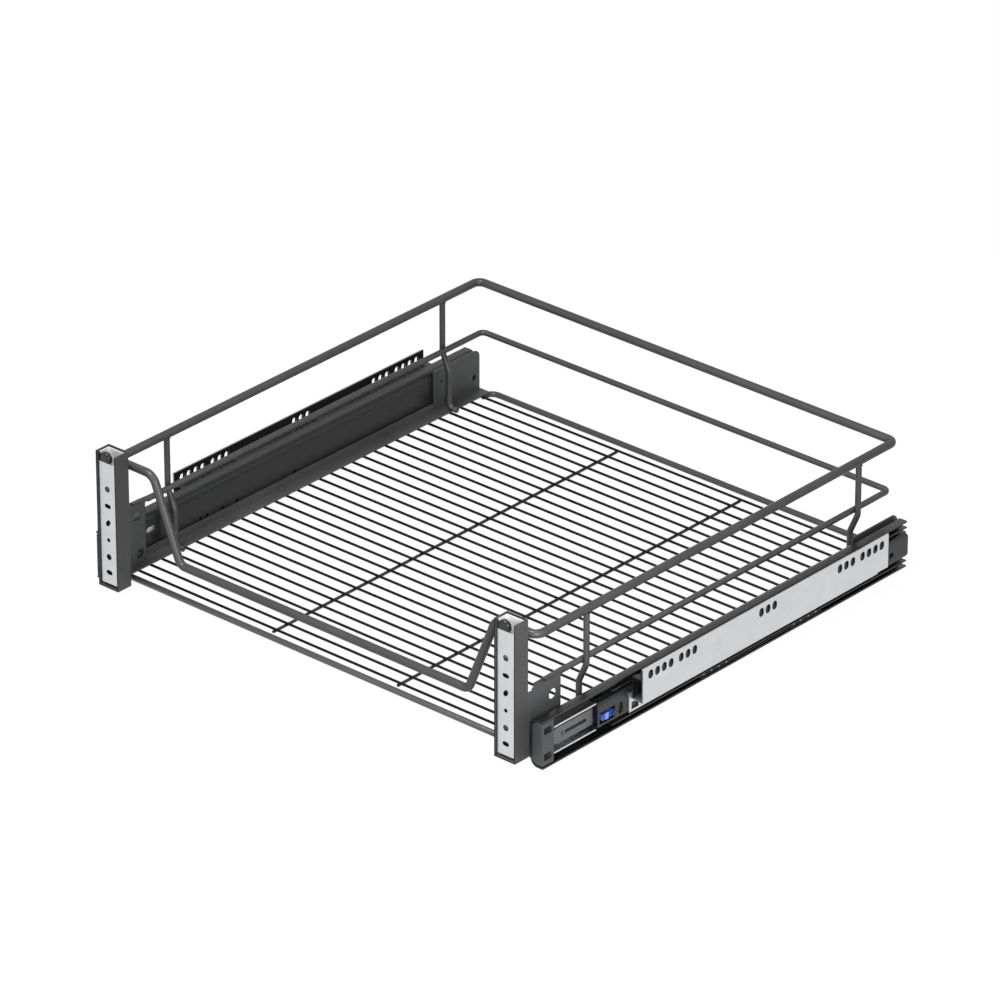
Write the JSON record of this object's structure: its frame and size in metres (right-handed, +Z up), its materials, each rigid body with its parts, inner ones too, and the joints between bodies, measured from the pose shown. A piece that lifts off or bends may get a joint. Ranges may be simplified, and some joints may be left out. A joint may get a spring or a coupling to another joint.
{
  "type": "pull-out drawer",
  "caption": "Shallow wire pull-out drawer for a kitchen cabinet, on two full extension ball bearing slides, with two front posts for a furniture front.",
  "frame": {"origin": "middle of the lowest plane of the drawer, under its box", "axes": "+X to the right seen from the front, +Y to the back of the cabinet, +Z up; the drawer pulls out along -Y"},
  "size_m": [0.495, 0.4631, 0.124],
  "materials": {
    "rods": "satin powder coat",
    "front_rod": "satin powder coat",
    "grid": "satin powder coat",
    "posts": "satin powder coat",
    "sheet": "satin powder coat",
    "rails": "satin dark coat",
    "cabinet_rails": "satin dark coat",
    "zinc": "bright zinc plate",
    "fittings": "zinc plate",
    "soft_stop": "satin grey",
    "cages": "zinc plate",
    "balls": "polished",
    "black_plastic": "moulded",
    "blue_plastic": "moulded"
  },
  "bodies": {
    "cabinet_side": {"cabinet_rail_left": "cabinet_rails", "cabinet_rail_right": "cabinet_rails", "bracket_left": "zinc", "bracket_right": "zinc", "cover_left": "rails", "cover_right": "rails", "bracket_rivets": "fittings", "latch_base_left": "black_plastic", "latch_base_right": "black_plastic", "latch_pins": "fittings"},
    "middle_left": {"middle_rail_left": "rails"},
    "outer_cage_left": {"outer_cage_left": "cages", "outer_balls_left": "balls"},
    "inner_cage_left": {"inner_cage_left": "cages", "inner_balls_left": "balls"},
    "release_lever_left": {"release_lever_left": "blue_plastic"},
    "catch_slider_left": {"catch_slider_left": "soft_stop"},
    "middle_right": {"middle_rail_right": "rails"},
    "outer_cage_right": {"outer_cage_right": "cages", "outer_balls_right": "balls"},
    "inner_cage_right": {"inner_cage_right": "cages", "inner_balls_right": "balls"},
    "release_lever_right": {"release_lever_right": "blue_plastic"},
    "catch_slider_right": {"catch_slider_right": "soft_stop"},
    "basket": {"top_rim": "rods", "mid_rail": "rods", "uprights": "rods", "back_rod": "rods", "support_wires": "rods", "front_rod": "front_rod", "grid_wires": "grid", "post_left": "posts", "post_right": "posts", "carrier_left": "sheet", "carrier_right": "sheet", "front_ear_left": "sheet", "front_ear_right": "sheet", "rear_ear_left": "sheet", "rear_ear_right": "sheet", "drawer_rail_left": "rails", "drawer_rail_right": "rails", "front_plate_left": "zinc", "front_plate_right": "zinc", "post_liner_left": "zinc", "post_liner_right": "zinc", "catch_channel_left": "zinc", "catch_channel_right": "zinc", "end_stop_left": "soft_stop", "end_stop_right": "soft_stop", "damper_left": "soft_stop", "damper_right": "soft_stop", "post_cap_left": "black_plastic", "post_cap_right": "black_plastic"}
  },
  "joints": [
    {"name": "basket_slide", "type": "slide", "parent": "cabinet_side", "child": "basket", "axis": [0, -1, 0], "range_m": [0, 0.42]},
    {"name": "middle_left_slide", "type": "slide", "parent": "cabinet_side", "child": "middle_left", "axis": [0, -1, 0], "range_m": [0, 0.21]},
    {"name": "outer_cage_left_slide", "type": "slide", "parent": "cabinet_side", "child": "outer_cage_left", "axis": [0, -1, 0], "range_m": [0, 0.315]},
    {"name": "inner_cage_left_slide", "type": "slide", "parent": "cabinet_side", "child": "inner_cage_left", "axis": [0, -1, 0], "range_m": [0, 0.105]},
    {"name": "release_lever_left_hinge", "type": "hinge", "parent": "cabinet_side", "child": "release_lever_left", "pos_m": [-0.234, -0.13855, 0.01835], "axis": [1, 0, 0], "range_deg": [-8, 8]},
    {"name": "catch_slider_left_slide", "type": "slide", "parent": "basket", "child": "catch_slider_left", "axis": [0, 1, 0], "range_m": [0, 0.024]},
    {"name": "middle_right_slide", "type": "slide", "parent": "cabinet_side", "child": "middle_right", "axis": [0, -1, 0], "range_m": [0, 0.21]},
    {"name": "outer_cage_right_slide", "type": "slide", "parent": "cabinet_side", "child": "outer_cage_right", "axis": [0, -1, 0], "range_m": [0, 0.315]},
    {"name": "inner_cage_right_slide", "type": "slide", "parent": "cabinet_side", "child": "inner_cage_right", "axis": [0, -1, 0], "range_m": [0, 0.105]},
    {"name": "release_lever_right_hinge", "type": "hinge", "parent": "cabinet_side", "child": "release_lever_right", "pos_m": [0.234, -0.13855, 0.01835], "axis": [1, 0, 0], "range_deg": [-8, 8]},
    {"name": "catch_slider_right_slide", "type": "slide", "parent": "basket", "child": "catch_slider_right", "axis": [0, 1, 0], "range_m": [0, 0.024]}
  ],
  "couplings": [
    {"joint": "middle_left_slide", "follows": "basket_slide", "ratio": 0.5},
    {"joint": "outer_cage_left_slide", "follows": "basket_slide", "ratio": 0.75},
    {"joint": "inner_cage_left_slide", "follows": "basket_slide", "ratio": 0.25},
    {"joint": "middle_right_slide", "follows": "basket_slide", "ratio": 0.5},
    {"joint": "outer_cage_right_slide", "follows": "basket_slide", "ratio": 0.75},
    {"joint": "inner_cage_right_slide", "follows": "basket_slide", "ratio": 0.25}
  ]
}
